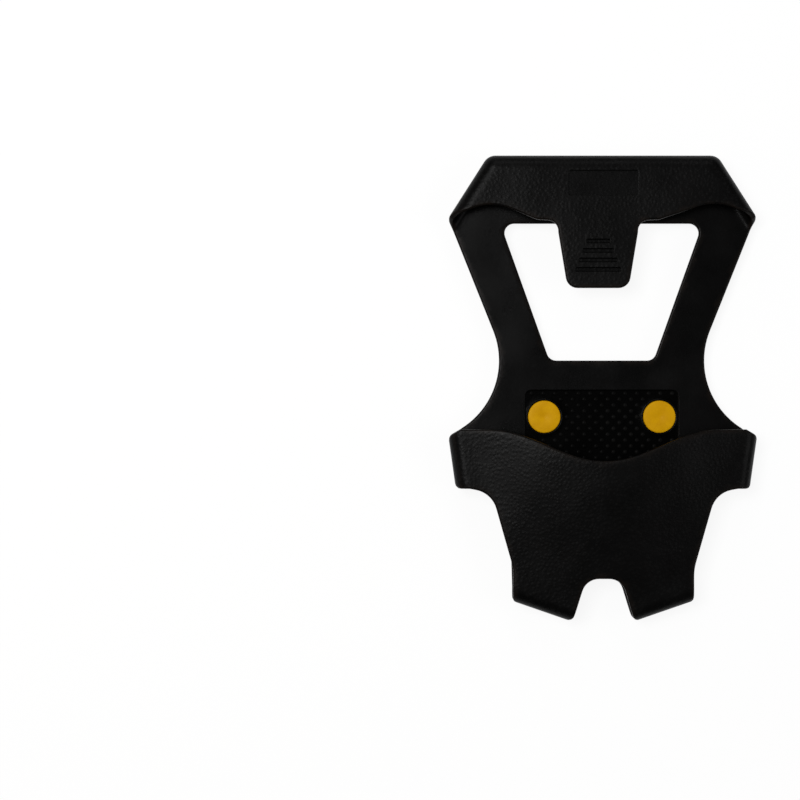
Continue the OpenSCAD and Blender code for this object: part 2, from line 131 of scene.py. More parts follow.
rubber = {
    "wall": 2.6,          # thickness
    "rounding": 0.9,      # radius of its free edges
    "rimSteps": 3,
    "foldRadius": 4.9,    # of the folds, in the middle of the wall
    "foldSteps": 12,
    "elbowSteps": 6,
    "earTurn": (1 / 2, 2 / 3),  # part of an ear's fold over which its end moves to the band's end
    "lowMid": 7.6,        # height of the lower sheet's middle
    "foldMid": 12.5,
    "highMid": 17.4,      # height of the upper sheet's middle
    "bedTop": 8.9,
    "top": 18.7,
    "crown": 7.3,         # arch of the toe cover
    "crownPower": 1.5,
    "mouthDip": 14.5,     # curve in the cover's mouth
    "mouthWidth": 106.0,
    "markRim": 0.15,      # flat strips along the sides of a sunken mark
}

outline = {  # left half, the fold lines come from these
    "foldOut": 6.2,
    "rearCorner": flat(53.5, 108.85),
    "earTip": flat(72.0, 79.85),
    "earRounding": 1.0,
    "waistMiddle": flat(85.7, 13.15),
    "waistRadius": 37.5,
    "waistSteps": 24,
    "waistStop": 0.02,    # radians, the waist's last point stays clear of the wing's first
    "wingRear": flat(66.3, -19.05),
    "wingFront": flat(62.4, -46.65),
    "wingLean": flat(6.2, -3.7),
    "wingRounding": 1.5,
    "soleSide": flat(43.5, -46.65),
    "soleFillet": 3.0,
    "coverSide": flat(52.0, -48.55),
    "coverFillet": 12.0,
    "flare": flat(42.0, -83.85),
    "flareRadius": 24.0,
    "lobeCorner": flat(42.0, -99.35),
    "lobeTip": flat(14.5, -108.85),
    "lobeRounding": 2.0,
    "lobeSideRounding": 1.2,
    "notchEnd": flat(8.2, -88.35),
    "notchFillet": 8.0,
    "windowRear": flat(47.5, 77.45),
    "windowFront": flat(24.5, 13.15),
    "windowFillet": 4.5,
    "bandEnd": 83.05,
    "bandHollow": flat(52.0, 87.25),
    "bandFillet": 24.0,
    "bandFilletSteps": 10,
}

tab = {"shift": 2.6, "rootWidth": 37.0, "tipWidth": 28.4, "edge": 77.95, "root": 72.65, "tip": 46.65,
       "fillet": 5.0, "neckRise": 0.5, "neckSteps": 3, "rounding": 5.5, "tipSteps": 6}

studPlaces = {
    "forefoot": {"ball_left": flat(27, -13.25), "ball_right": flat(-27, -13.25),
                 "toe_left": flat(21.75, -69.65), "toe_right": flat(-21.75, -69.65)},
    "heel": {"heel_left": flat(24.8, 94.05), "heel_right": flat(-24.8, 94.05)},
}

seat = {"holeRadius": 4.1, "headRadius": 7.7, "lip": 0.2, "headHeight": 8.2, "rimRadius": 8.4,
        "holeSides": 24, "headSides": 40, "rimSides": 48}

bedPatch = {"middle": flat(0, -39.65), "length": 72.4, "width": 78.2, "depth": 0.4, "slope": 0.4,
            "rounding": 3.0}

treadPad = {"pitch": 5.8, "cell": 4.9, "pore": 1.9, "columns": 12, "height": 1.5, "bottom": 4.8,
            "boss": 16.4, "bossStep": 0.06, "rim": 0.3, "shadeInset": 1.5, "rounding": 0.18,
            "roundingSteps": 2, "cellSides": 20, "poreSides": 10, "bossSides": 48}
treadPlaces = {"forefoot": {"middle": flat(0, -39.65), "rows": 13},
               "heel": {"middle": flat(0, 91.05), "rows": 4}}

grip = {"count": 4, "first": 55.25, "pitch": 4.4, "width": 2.0, "length": 21.4, "shorter": 3.4,
        "depth": 0.7, "slope": 0.3, "rounding": 0.6, "shade": 0.4}

panel = {"middle": flat(0, 95.45), "length": 33.0, "width": 12.0, "depth": 0.3, "slope": 0.4,
         "rounding": 1.2}

step = meshing["step"]
earWay = (outline["rearCorner"] - outline["earTip"]).normalized()
earOut = -turned(earWay)
earInward = -earOut * outline["foldOut"]
rearFoldY = outline["rearCorner"].y - outline["foldOut"]
earLow = outline["earTip"] + earInward
earHigh = outline["rearCorner"] + earInward
rearIn = meet(earLow, earHigh, flat(0, rearFoldY), flat(1, rearFoldY))
earFromWaist = outline["earTip"] - outline["waistMiddle"]
waistAngle = angleOf(earFromWaist) + math.acos(outline["waistRadius"] / earFromWaist.length)
waistTouch = outline["waistMiddle"] + polar(waistAngle, outline["waistRadius"])
earEnd = meet(earLow, earHigh, outline["earTip"], waistTouch)
bandEnd = meet(earLow, earHigh, flat(0, outline["bandEnd"]), flat(1, outline["bandEnd"]))
lobeWay = (outline["lobeCorner"] - outline["lobeTip"]).normalized()
lobeOut = -turned(lobeWay)
lobeIn = outline["lobeTip"] - lobeOut * outline["foldOut"]
lobeOuter = meet(lobeIn, lobeIn + lobeWay, outline["lobeCorner"], outline["lobeCorner"] + flat(0, 1))
seamInner = meet(outline["notchEnd"], outline["lobeTip"], lobeIn, lobeOuter)
wingWay = (outline["wingRear"] - outline["wingFront"]).normalized()


def line(a, b, like=None):  # even points from a to b, as many as in another line
    count = len(like) - 1 if like else math.ceil((b - a).length / step)
    return [a.lerp(b, i / count) for i in range(count + 1)]


# fold lines from end to end, shared by the sheets on both sides of a fold
rearLine = line(flat(0, rearFoldY), rearIn)
earLine = line(rearIn, earEnd)
bandLine = line(rearIn, bandEnd, earLine)
wingLine = line(outline["wingRear"], outline["wingFront"])
toeLine = line(lobeOuter, seamInner)
notchLine = stretch(seamInner, outline["notchEnd"], step)[:-2] + roundCorner(
    seamInner, outline["notchEnd"], flat(0, outline["notchEnd"].y), outline["notchFillet"]) + [
    flat(0, outline["notchEnd"].y)]


def lowerLoop():
    wingAngle = angleOf(outline["wingRear"] - outline["waistMiddle"]) + 2 * math.pi
    waist = arc(outline["waistMiddle"], outline["waistRadius"], waistAngle,
                wingAngle - outline["waistStop"], outline["waistSteps"])
    sole = roundCorner(outline["wingFront"], outline["soleSide"], lobeOuter, outline["soleFillet"])
    half = rearLine + earLine[1:] + waist + wingLine + sole + toeLine + notchLine[1:]
    return filledIn(half + mirrored(half)[1:-1], step * meshing["sharedGap"])


def windowLoop():
    rear, front = outline["windowRear"], outline["windowFront"]
    half = (roundCorner(mirrored([rear])[0], rear, front, outline["windowFillet"])
            + roundCorner(rear, front, mirrored([front])[0], outline["windowFillet"]))
    return filledIn(half + mirrored(half), step)


def bandHalf(tabShift):
    rootX = tab["rootWidth"] / 2 + tabShift
    neck = flat(rootX + 2 * tab["fillet"], tab["edge"] + tab["neckRise"])
    corner = flat(rootX, tab["edge"])
    root = flat(rootX, tab["root"])
    tip = flat(tab["tipWidth"] / 2 + tabShift, tab["tip"])
    hollow = outline["bandHollow"]
    return (rearLine + bandLine[1:]
            + roundCorner(bandEnd, hollow, neck, outline["bandFillet"], outline["bandFilletSteps"])
            + roundCorner(hollow, neck, corner, tab["fillet"], tab["neckSteps"])
            + roundCorner(neck, corner, root, tab["fillet"]) + [root]
            + roundCorner(root, tip, tip - flat(1, 0), tab["rounding"], tab["tipSteps"]))


def upperLoop():
    loop = bandHalf(-tab["shift"]) + mirrored(bandHalf(tab["shift"]))[:-1]
    return filledIn(loop, step * meshing["sharedGap"])


def mouthY(x):
    inside = abs(x) < rubber["mouthWidth"] / 2
    dip = math.cos(math.pi * x / rubber["mouthWidth"]) ** 2 if inside else 0
    return outline["wingRear"].y - rubber["mouthDip"] * dip


def coverLoop():
    side = (roundCorner(lobeOuter, outline["flare"], outline["coverSide"], outline["flareRadius"])
            + roundCorner(outline["flare"], outline["coverSide"], outline["wingFront"],
                          outline["coverFillet"]))
    mouth = [flat(p.x, mouthY(p.x)) for p in line(outline["wingRear"], flat(0, outline["wingRear"].y))]
    half = notchLine[::-1] + toeLine[::-1][1:] + side + wingLine[::-1] + mouth[1:]
    return filledIn(half + mirrored(half)[1:-1], step * meshing["sharedGap"])


def archHeight(share):
    return max(0.0, 1 - share * share) ** rubber["crownPower"]


def coverHeight(p):
    rear = outline["wingRear"]
    reach = lobeOuter.x + (rear.x - lobeOuter.x) * (p.y - lobeOuter.y) / (rear.y - lobeOuter.y)
    seamY = lobeOuter.y - (lobeOuter.x - abs(p.x)) * lobeWay.y / lobeWay.x
    arched = archHeight(p.x / reach) * archHeight((rear.y - p.y) / (rear.y - seamY))
    return rubber["highMid"] + rubber["crown"] * arched


def insideLoop(points, loop):
    found = np.zeros(len(points), bool)
    for i, q in enumerate(loop):
        p = loop[i - 1]
        if p.y == q.y:
            continue
        crosses = (points[:, 1] < p.y) != (points[:, 1] < q.y)
        at = p.x + (points[:, 1] - p.y) * (q.x - p.x) / (q.y - p.y)
        found ^= crosses & (points[:, 0] < at)
    return found


def borderDistance(points, starts, ends):
    way = ends - starts
    rel = points[:, None, :] - starts[None]
    share = np.clip((rel * way).sum(2) / (way * way).sum(1), 0, 1)
    return np.sqrt(((rel - share[..., None] * way) ** 2).sum(2)).min(1)


def floodFaces(faces, walls, seed):  # the faces reached from a seed point without crossing a wall
    neighbours = {}
    for number, face in enumerate(faces):
        for i, corner in enumerate(face):
            neighbours.setdefault(frozenset((corner, face[i - 1])), []).append(number)
    waiting = [number for number, face in enumerate(faces) if seed in face]
    found = set(waiting)
    while waiting:
        face = faces[waiting.pop()]
        for i, corner in enumerate(face):
            edge = frozenset((corner, face[i - 1]))
            fresh = [] if edge in walls else [n for n in neighbours[edge] if n not in found]
            found.update(fresh)
            waiting += fresh
    return sorted(found)


def addFlatSheet(sheet, loop, holes, rings, heightAt):
    points = []
    edges = []
    for ring in [loop, *holes, *rings]:
        first = len(points)
        points += ring
        edges += [(first + i, first + (i + 1) % len(ring)) for i in range(len(ring))]
    border = np.array([tuple(p) for p in points])
    low, high = border.min(0), border.max(0)
    rows = np.arange(low[1], high[1], step * meshing["rowGap"])
    spots = np.array([(x + (j % 2) * step / 2, y) for j, y in enumerate(rows)
                      for x in np.arange(low[0], high[0], step)])
    kept = insideLoop(spots, loop)
    for hole in holes:
        kept &= ~insideLoop(spots, hole)
    spots = spots[kept]
    starts = border[[a for a, b in edges]]
    ends = border[[b for a, b in edges]]
    spots = spots[borderDistance(spots, starts, ends) > step * meshing["lineGap"]]
    points += [Vector(p) for p in spots]
    made, madeEdges, faces, _, sources, _ = delaunay_2d_cdt(points, edges, [], 0, meshing["planarGap"])
    wallCount = len(loop) + sum(len(hole) for hole in holes)
    walls = {frozenset(e) for e, source in zip(madeEdges, sources) if any(s < wallCount for s in source)}
    kept = floodFaces(faces, walls, next(i for i, p in enumerate(made) if tuple(p) == tuple(points[-1])))
    first = len(sheet["points"])
    sheet["points"] += [Vector((p.x, p.y, heightAt(p))) for p in made]
    sheet["faces"] += [[first + i for i in faces[number]] for number in kept]


def addRows(sheet, rows):  # a net of points and its mirror image
    width = len(rows[0])
    for side in (1, -1):
        first = len(sheet["points"])
        sheet["points"] += [Vector((side * p.x, p.y, p.z)) for row in rows for p in row]
        for j in range(len(rows) - 1):
            for i in range(width - 1):
                a = first + j * width + i
                sheet["faces"].append([a, a + 1, a + width + 1, a + width])


def cutEnd(base, way, out, inward=flat(0, 0), rounding=0.0):  # where a fold ends, by distance from its line
    def at(reach):
        outer = reach * outline["foldOut"] / rubber["foldRadius"]
        bend = min(1.0, max(0.0, 1 - (outline["foldOut"] - outer) / rounding)) if rounding else 0.0
        retreat = rounding * (1 - math.sqrt(1 - bend * bend))
        return base + way * (reach / way.dot(out)) + inward * retreat
    return at


def stepsRound():  # share of the turn, distance out and height at each step round a fold
    for i in range(rubber["foldSteps"] + 1):
        turn = i / rubber["foldSteps"]
        reach = rubber["foldRadius"] * math.sin(math.pi * turn)
        yield turn, reach, rubber["foldMid"] - rubber["foldRadius"] * math.cos(math.pi * turn)


def addFold(sheet, like, start, end, upperEnd=None):
    first, full = rubber["earTurn"]
    rows = []
    for turn, reach, height in stepsRound():
        last = end(reach)
        if upperEnd:
            last = last.lerp(upperEnd(reach), min(1, max(0, (turn - first) / (full - first))))
        rows.append([Vector((p.x, p.y, height)) for p in line(start(reach), last, like)])
    addRows(sheet, rows)


def addElbow(sheet):  # the round corner between the rear fold and an ear's fold
    rows = []
    for turn, reach, height in stepsRound():
        corner = arc(rearIn, reach, math.pi / 2, angleOf(earOut), rubber["elbowSteps"])
        rows.append([Vector((p.x, p.y, height)) for p in corner])
    addRows(sheet, rows)


def addFolds(sheet):
    rearOut = flat(0, 1)
    addFold(sheet, rearLine, cutEnd(rearLine[0], rearOut, rearOut), cutEnd(rearIn, rearOut, rearOut))
    addElbow(sheet)
    strapWay = (outline["earTip"] - waistTouch).normalized()
    highWay = outline["earTip"] - bandEnd
    addFold(sheet, earLine, cutEnd(rearIn, earOut, earOut),
            cutEnd(earEnd, strapWay, earOut, earWay, outline["earRounding"]),
            cutEnd(bandEnd, highWay, earOut, earWay, outline["earRounding"]))
    wingOut = -turned(wingWay)
    addFold(sheet, wingLine, cutEnd(outline["wingRear"], outline["wingLean"], wingOut, -wingWay,
                                    outline["wingRounding"]),
            cutEnd(outline["wingFront"], flat(1, 0), wingOut, wingWay, outline["wingRounding"]))
    notchWay = outline["lobeTip"] - outline["notchEnd"]
    addFold(sheet, toeLine, cutEnd(lobeOuter, flat(0, -1), lobeOut, -lobeWay, outline["lobeSideRounding"]),
            cutEnd(seamInner, notchWay, lobeOut, lobeWay, outline["lobeRounding"]))


def circle(middle, radius, count):
    return arc(middle, radius, 0, 2 * math.pi, count)[:-1]


def boxRings(middle, length, width, mark):  # along the top and the foot of a sunken box's sides
    rings = []
    for inset in (-rubber["markRim"], 0, mark["slope"], mark["slope"] + rubber["markRim"]):
        rounding = mark["rounding"] - inset / 2
        rings.append(filledIn(roundBox(middle, length - 2 * inset, width - 2 * inset, rounding), step))
    return rings


def gripMarks():  # middle and length of each groove across the tab
    return [(flat(-tab["shift"], grip["first"] + i * grip["pitch"]), grip["length"] - i * grip["shorter"])
            for i in range(grip["count"])]


def drawSheet():
    sheet = {"points": [], "faces": []}
    places = [p for group in studPlaces.values() for p in group.values()]
    holes = [circle(p, seat["holeRadius"], seat["holeSides"]) for p in places]
    lips = (0, seat["lip"])
    rings = [circle(p, seat["headRadius"] + lip, seat["headSides"]) for p in places for lip in lips]
    rings += [circle(p, seat["rimRadius"] + lip, seat["rimSides"])
              for p in studPlaces["forefoot"].values() for lip in lips]
    rings += boxRings(bedPatch["middle"], bedPatch["length"], bedPatch["width"], bedPatch)
    addFlatSheet(sheet, lowerLoop(), [windowLoop(), *holes], rings, lambda p: rubber["lowMid"])
    marks = boxRings(panel["middle"], panel["length"], panel["width"], panel)
    for middle, length in gripMarks():
        marks += boxRings(middle, length, grip["width"], grip)
    addFlatSheet(sheet, upperLoop(), [], marks, lambda p: rubber["highMid"])
    addFlatSheet(sheet, coverLoop(), [], [], coverHeight)
    addFolds(sheet)
    mesh = bpy.data.meshes.new("rubberSheet")
    mesh.from_pydata([p * mm for p in sheet["points"]], [], sheet["faces"])
    return mesh


def baked(piece):  # the piece with its modifiers, as a plain mesh
    bpy.context.view_layer.update()
    evaluated = piece.evaluated_get(bpy.context.evaluated_depsgraph_get())
    mesh = bpy.data.meshes.new_from_object(evaluated)
    piece.modifiers.clear()
    old = piece.data
    piece.data = mesh
    bpy.data.meshes.remove(old)
    return piece


def newPiece(name, mesh):
    piece = bpy.data.objects.new(name, mesh)
    bpy.context.scene.collection.objects.link(piece)
    return piece


def thickSheet():
    piece = newPiece("rubberSheet", drawSheet())
    net = bmesh.new()
    net.from_mesh(piece.data)
    bmesh.ops.remove_doubles(net, verts=net.verts, dist=meshing["weld"] * mm)
    bmesh.ops.recalc_face_normals(net, faces=net.faces)
    net.to_mesh(piece.data)
    loose = sum(1 for v in net.verts if not v.link_faces)
    print("rubber sheet:", len(net.verts), "points,", loose, "loose,",
          sum(1 for e in net.edges if len(e.link_faces) > 2), "edges with three faces")
    net.free()
    wall = piece.modifiers.new("wall", "SOLIDIFY")
    wall.thickness = rubber["wall"] * mm
    wall.offset = 0
    wall.use_even_offset = True
    rim = piece.modifiers.new("rim", "BEVEL")
    rim.width = rubber["rounding"] * mm
    rim.segments = rubber["rimSteps"]
    rim.limit_method = "ANGLE"
    rim.angle_limit = math.radians(meshing["rimTurn"])
    rim.use_clamp_overlap = False
    rim.material = 1
    piece.data.materials.append(None)
    piece.data.materials.append(None)
    return baked(piece)


def sink(net, inside, middle, height):  # lowers the top of a sheet
    for v in net.verts:
        rise = v.co.z / mm - middle
        if 0 < rise < rubber["wall"] and inside(v.co / mm):
            v.co.z = min(v.co.z, height * mm)


def inBox(p, middle, length, width, inset, rounding=0.0):
    x = abs(p.x - middle.x) - length / 2 + inset + rounding
    y = abs(p.y - middle.y) - width / 2 + inset + rounding
    return math.hypot(max(x, 0), max(y, 0)) <= rounding


def onMark(p, middle, length, width, mark):  # past the middle of a sunken box's sloping sides
    return inBox(p, middle, length, width, mark["slope"] / 2, mark["rounding"] - mark["slope"] / 4)


def nearStud(p, group, radius):
    return any((flat(p.x, p.y) - place).length < radius for place in studPlaces[group].values())


def onPatch(p):
    rim = seat["rimRadius"] + seat["lip"] / 2
    return (onMark(p, bedPatch["middle"], bedPatch["length"], bedPatch["width"], bedPatch)
            and not nearStud(p, "forefoot", rim))


# where shade is painted behind the tread's cells, inset from the pad's border
def onTread(p):
    pitch, inset = treadPad["pitch"], treadPad["shadeInset"]
    return any(inBox(p, pad["middle"], treadPad["columns"] * pitch, pad["rows"] * pitch, inset)
               for pad in treadPlaces.values())


def onPanel(p):
    return onMark(p, panel["middle"], panel["length"], panel["width"], panel)


def onGrip(p):
    return any(onMark(p, middle, length, grip["width"], grip) for middle, length in gripMarks())


def sinkDetails(net):
    for group in studPlaces:
        radius = seat["headRadius"] + seat["lip"] / 2
        sink(net, lambda p: nearStud(p, group, radius), rubber["lowMid"], seat["headHeight"])
    sink(net, onPatch, rubber["lowMid"], rubber["bedTop"] - bedPatch["depth"])
    sink(net, onPanel, rubber["highMid"], rubber["top"] - panel["depth"])
    sink(net, onGrip, rubber["highMid"], rubber["top"] - grip["depth"])


pebbles = {"smooth": 0.15, "panel": 0.4, "start": 11.0, "rise": 5.0}


# the pebbles' share also places the painted highlight on their domes
def pebbleAndHighlightShare(p, facesUp):  # grows with height on what faces up, from half way up the folds
    if p.z < rubber["foldMid"] or not facesUp:
        return pebbles["smooth"]
    if p.z > rubber["highMid"] and onPanel(p):
        return pebbles["panel"]
    return min(1, max(pebbles["smooth"], (p.z - pebbles["start"]) / pebbles["rise"]))


def paintedShadeShare(p):  # painted shade behind the treads' cells, on the bed's sunken field and in the tab's grooves
    if p.z < rubber["lowMid"]:
        return 1 if onTread(p) else 0
    if p.z < rubber["foldMid"]:
        return 1 if onPatch(p) else 0
    return grip["shade"] if p.z > rubber["highMid"] and onGrip(p) else 0


cuts = {"waist": 6.0, "straps": 30.0, "heel": 71.0, "tab": 79.5, "tabSide": 36.0, "tabHeight": 14.5,
        "tabReach": 4.0}


def zoneOf(p):
    if p.y < cuts["waist"]:
        return "forefoot_skin"
    if p.y < cuts["straps"] and p.z < cuts["tabHeight"]:
        return "waist_skin"
    if p.z > cuts["tabHeight"] and p.y < cuts["tab"] and abs(p.x) < cuts["tabSide"]:
        return "tab_skin"
    if p.y < cuts["heel"]:
        return "left_strap_skin" if p.x > 0 else "right_strap_skin"
    return "heel_skin"


def nearTab(p):
    return p.z > cuts["tabHeight"] and p.y < cuts["tab"] + cuts["tabReach"] and abs(p.x) < cuts["tabSide"]


def middleOf(face):
    return face.calc_center_median() / mm


def cutAcross(net, y, faces):
    edges = {e for f in faces for e in f.edges}
    verts = {v for f in faces for v in f.verts}
    bmesh.ops.bisect_plane(net, geom=[*verts, *edges, *faces], dist=meshing["cutGap"] * mm,
                           plane_co=(0, y * mm, 0), plane_no=(0, 1, 0))


def smoothNormals(piece):
    weighted = piece.modifiers.new("normals", "WEIGHTED_NORMAL")
    weighted.keep_sharp = True
    weighted.weight = meshing["normalWeight"]
    return baked(piece)


def markSkin(net):  # shares of worn edge, of pebbles with their painted highlight, and of painted shade, for the material
    worn = net.verts.layers.float.new("worn")
    pebbleAndHighlight = net.verts.layers.float.new("pebbleAndHighlight")
    paintedShade = net.verts.layers.float.new("paintedShade")
    for f in net.faces:
        if f.material_index == 1:
            for v in f.verts:
                v[worn] = 1
        f.material_index = 0
        f.smooth = True
    for v in net.verts:
        v[pebbleAndHighlight] = pebbleAndHighlightShare(v.co / mm, v.normal.z >= 0)
        v[paintedShade] = paintedShadeShare(v.co / mm)


def closedPart(net, names, name):  # the faces of one zone, with caps over its cuts
    part = net.copy()
    part.faces.ensure_lookup_table()
    others = [f for f, zone in zip(part.faces[:], names) if zone != name]
    bmesh.ops.delete(part, geom=others, context="FACES")
    edges = [e for e in part.edges if e.is_boundary]
    caps = bmesh.ops.holes_fill(part, edges=edges, sides=0)["faces"]
    for item in [*edges, *caps]:
        item.smooth = False
    bmesh.ops.recalc_face_normals(part, faces=part.faces)
    mesh = bpy.data.meshes.new(name)
    part.to_mesh(mesh)
    loose = sum(1 for e in part.edges if not e.is_manifold)
    print(name, len(part.faces), "faces,", len(caps), "caps,", loose, "open edges")
    part.free()
    return smoothNormals(newPiece(name, mesh))


def splitSkin():
    whole = thickSheet()
    net = bmesh.new()
    net.from_mesh(whole.data)
    sinkDetails(net)
    markSkin(net)
    for name in ("waist", "straps", "heel"):
        cutAcross(net, cuts[name], net.faces[:])
    cutAcross(net, cuts["tab"], [f for f in net.faces if nearTab(middleOf(f))])
    names = [zoneOf(middleOf(f)) for f in net.faces]
    pieces = {name: closedPart(net, names, name) for name in sorted(set(names))}
    net.free()
    bpy.data.objects.remove(whole)
    return pieces


# materials

def addNode(tree, kind, inputs=None, **settings):
    node = tree.nodes.new(kind)
    for name, value in settings.items():
        setattr(node, name, value)
    for name, value in (inputs or {}).items():
        socket = node.inputs[name]
        if isinstance(value, bpy.types.NodeSocket):
            tree.links.new(value, socket)
        else:
            socket.default_value = value
    return node


def fromNode(tree, kind, inputs=None, **settings):  # a new node's first output
    return addNode(tree, kind, inputs, **settings).outputs[0]


def startMaterial(name):
    material = bpy.data.materials.new(name)
    material.use_nodes = True
    material.node_tree.nodes.clear()
    return material, material.node_tree


def finishMaterial(tree, inputs):
    shader = fromNode(tree, "ShaderNodeBsdfPrincipled", inputs)
    addNode(tree, "ShaderNodeOutputMaterial", {"Surface": shader})


def placeOf(tree):
    return addNode(tree, "ShaderNodeTexCoord").outputs["Object"]


def noise(tree, place, scale, detail, roughness=0.55):
    return fromNode(tree, "ShaderNodeTexNoise", {
        "Vector": place, "Scale": scale, "Detail": detail, "Roughness": roughness})


def ranged(tree, value, low, high, fromLow=0.3, fromHigh=0.7):  # most of a noise lies from 0.3 to 0.7
    return fromNode(tree, "ShaderNodeMapRange", {
        "Value": value, "From Min": fromLow, "From Max": fromHigh, "To Min": low, "To Max": high})


def mixed(tree, share, a, b):
    node = addNode(tree, "ShaderNodeMix", {"Factor": share}, data_type="RGBA")
    for socket, value in ((node.inputs[6], a), (node.inputs[7], b)):  # a mix node's colour sockets
        if isinstance(value, bpy.types.NodeSocket):
            tree.links.new(value, socket)
        else:
            socket.default_value = (*value, 1)
    return node.outputs[2]


def calc(tree, operation, a, b):
    return fromNode(tree, "ShaderNodeMath", {0: a, 1: b}, operation=operation)


def attribute(tree, name):
    return addNode(tree, "ShaderNodeAttribute", attribute_name=name).outputs["Fac"]


rubberLook = {
    # colours
    "deep": (0.0006, 0.0006, 0.0006), "pale": (0.0014, 0.0013, 0.0013), "worn": (0.007, 0.0048, 0.0036),
    # on the next line: a painted highlight on the grain's domes, a lighter lit copy of the rubber for the
    # bed's dots (painted highlight), and painted shade for the recesses
    "pebbleAndHighlight": (0.0042, 0.004, 0.0039), "dot": (0.004, 0.0039, 0.0038), "recessShade": (0.0005, 0.0005, 0.0005),
    # shine, lowered where shade is painted
    "specular": 0.06, "shadeSpecular": 0.015, "dotSpecular": 0.016, "roughness": (0.32, 0.42),
    "smoothRoughness": 0.8, "smoothSpan": (0.2, 0.6),
    # scale and detail of the noises
    "clouds": (34, 4), "sheen": (75, 3), "waves": (24, 1), "grain": (2900, 2), "highlightPatches": (120, 3),
    "scuffs": (160, 3),
    # heights in the bump, as multiples of its depth in metres
    "waveHeight": 12.0, "grainHeight": 0.25, "pebbleHeight": 0.45, "bumpDepth": 0.00011,
    # pebbles with their painted highlight, and worn edges
    "pebbleScale": 640.0, "pebbleSoftness": 0.5, "pebbleSpan": (0.1, 0.6), "pebbleAndHighlightShare": 0.5,
    "wornShare": 0.7,
}


def makeRubber(name, pale, specular, pebbled):
    material, tree = startMaterial(name)
    place = placeOf(tree)
    look = rubberLook
    clouds = noise(tree, place, *look["clouds"])
    colour = mixed(tree, ranged(tree, clouds, 0, 1), look["deep"], pale)
    grain = calc(tree, "MULTIPLY", noise(tree, place, *look["grain"]), look["grainHeight"])
    waves = calc(tree, "MULTIPLY", noise(tree, place, *look["waves"]), look["waveHeight"])
    height = calc(tree, "ADD", grain, waves)
    roughness = ranged(tree, noise(tree, place, *look["sheen"]), *look["roughness"])
    if pebbled:
        cells = fromNode(tree, "ShaderNodeTexVoronoi", {
            "Vector": place, "Scale": look["pebbleScale"], "Smoothness": look["pebbleSoftness"],
        }, feature="SMOOTH_F1")
        amount = attribute(tree, "pebbleAndHighlight")
        domes = calc(tree, "MULTIPLY", ranged(tree, cells, 1, 0, *look["pebbleSpan"]), amount)
        height = calc(tree, "ADD", height, calc(tree, "MULTIPLY", domes, look["pebbleHeight"]))
        # the grain's domes are lightened in random patches: a painted highlight
        highlightPatches = ranged(tree, noise(tree, place, *look["highlightPatches"]), 0, look["pebbleAndHighlightShare"])
        colour = mixed(tree, calc(tree, "MULTIPLY", domes, highlightPatches), colour, look["pebbleAndHighlight"])
        scuffs = ranged(tree, noise(tree, place, *look["scuffs"]), 0, look["wornShare"])
        colour = mixed(tree, calc(tree, "MULTIPLY", attribute(tree, "worn"), scuffs), colour, look["worn"])
        # painted shade in the recesses: a darker colour and less shine
        paintedShade = attribute(tree, "paintedShade")
        colour = mixed(tree, paintedShade, colour, look["recessShade"])
        specular = ranged(tree, paintedShade, specular, look["shadeSpecular"], 0, 1)
        smoothness = ranged(tree, amount, look["smoothRoughness"], 1, *look["smoothSpan"])
        roughness = calc(tree, "MULTIPLY", roughness, smoothness)
    bump = fromNode(tree, "ShaderNodeBump", {"Height": height, "Distance": look["bumpDepth"]})
    finishMaterial(tree, {"Base Color": colour, "Roughness": roughness, "Specular IOR Level": specular,
                          "Normal": bump})
    return material


plasticLook = {"colours": ((0.43, 0.212, 0.0008), (0.5, 0.262, 0.0015)), "clouds": (190, 3),
               "roughness": (0.34, 0.5), "sheen": (420, 4), "specular": 0.04, "metallic": 0.0,
               "grain": (1700, 3), "grainStrength": 0.12, "bumpDepth": 0.0001}

steelLook = {"colours": ((0.62, 0.62, 0.61), (0.42, 0.41, 0.4)), "clouds": (900, 4),
             "roughness": (0.22, 0.42), "sheen": (900, 4), "specular": 0.5, "metallic": 1.0,
             "grain": (4200, 2), "grainStrength": 0.15, "bumpDepth": 0.00005}


def makeHard(name, look):
    material, tree = startMaterial(name)
    place = placeOf(tree)
    clouds = ranged(tree, noise(tree, place, *look["clouds"]), 0, 1)
    sheen = ranged(tree, noise(tree, place, *look["sheen"]), *look["roughness"])
    bump = fromNode(tree, "ShaderNodeBump", {
        "Height": noise(tree, place, *look["grain"]), "Strength": look["grainStrength"],
        "Distance": look["bumpDepth"]})
    finishMaterial(tree, {"Base Color": mixed(tree, clouds, *look["colours"]), "Roughness": sheen,
                          "Specular IOR Level": look["specular"], "Metallic": look["metallic"],
                          "Normal": bump})
    return material


skinRubber = makeRubber("skinRubber", rubberLook["pale"], rubberLook["specular"], True)
treadRubber = makeRubber("treadRubber", rubberLook["pale"], rubberLook["specular"], False)
# a lighter, lit copy of the rubber for the bed's dots: a painted highlight
litDotRubber = makeRubber("litDotRubber", rubberLook["dot"], rubberLook["dotSpecular"], False)
yellowPlastic = makeHard("yellowPlastic", plasticLook)
studSteel = makeHard("studSteel", steelLook)
print("materials made")

skins = splitSkin()
for skin in skins.values():
    skin.data.materials.clear()
    skin.data.materials.append(skinRubber)

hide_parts("forefoot_sole", "toe_cover", "left_wing_fold", "right_wing_fold",
            "left_toe_fold", "right_toe_fold")
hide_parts("left_strap")
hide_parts("right_strap")
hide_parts("heel_sole", "rear_fold", "left_heel_corner", "right_heel_corner",
            "left_ear_fold", "right_ear_fold", "heel_band")
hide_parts("pull_tab")

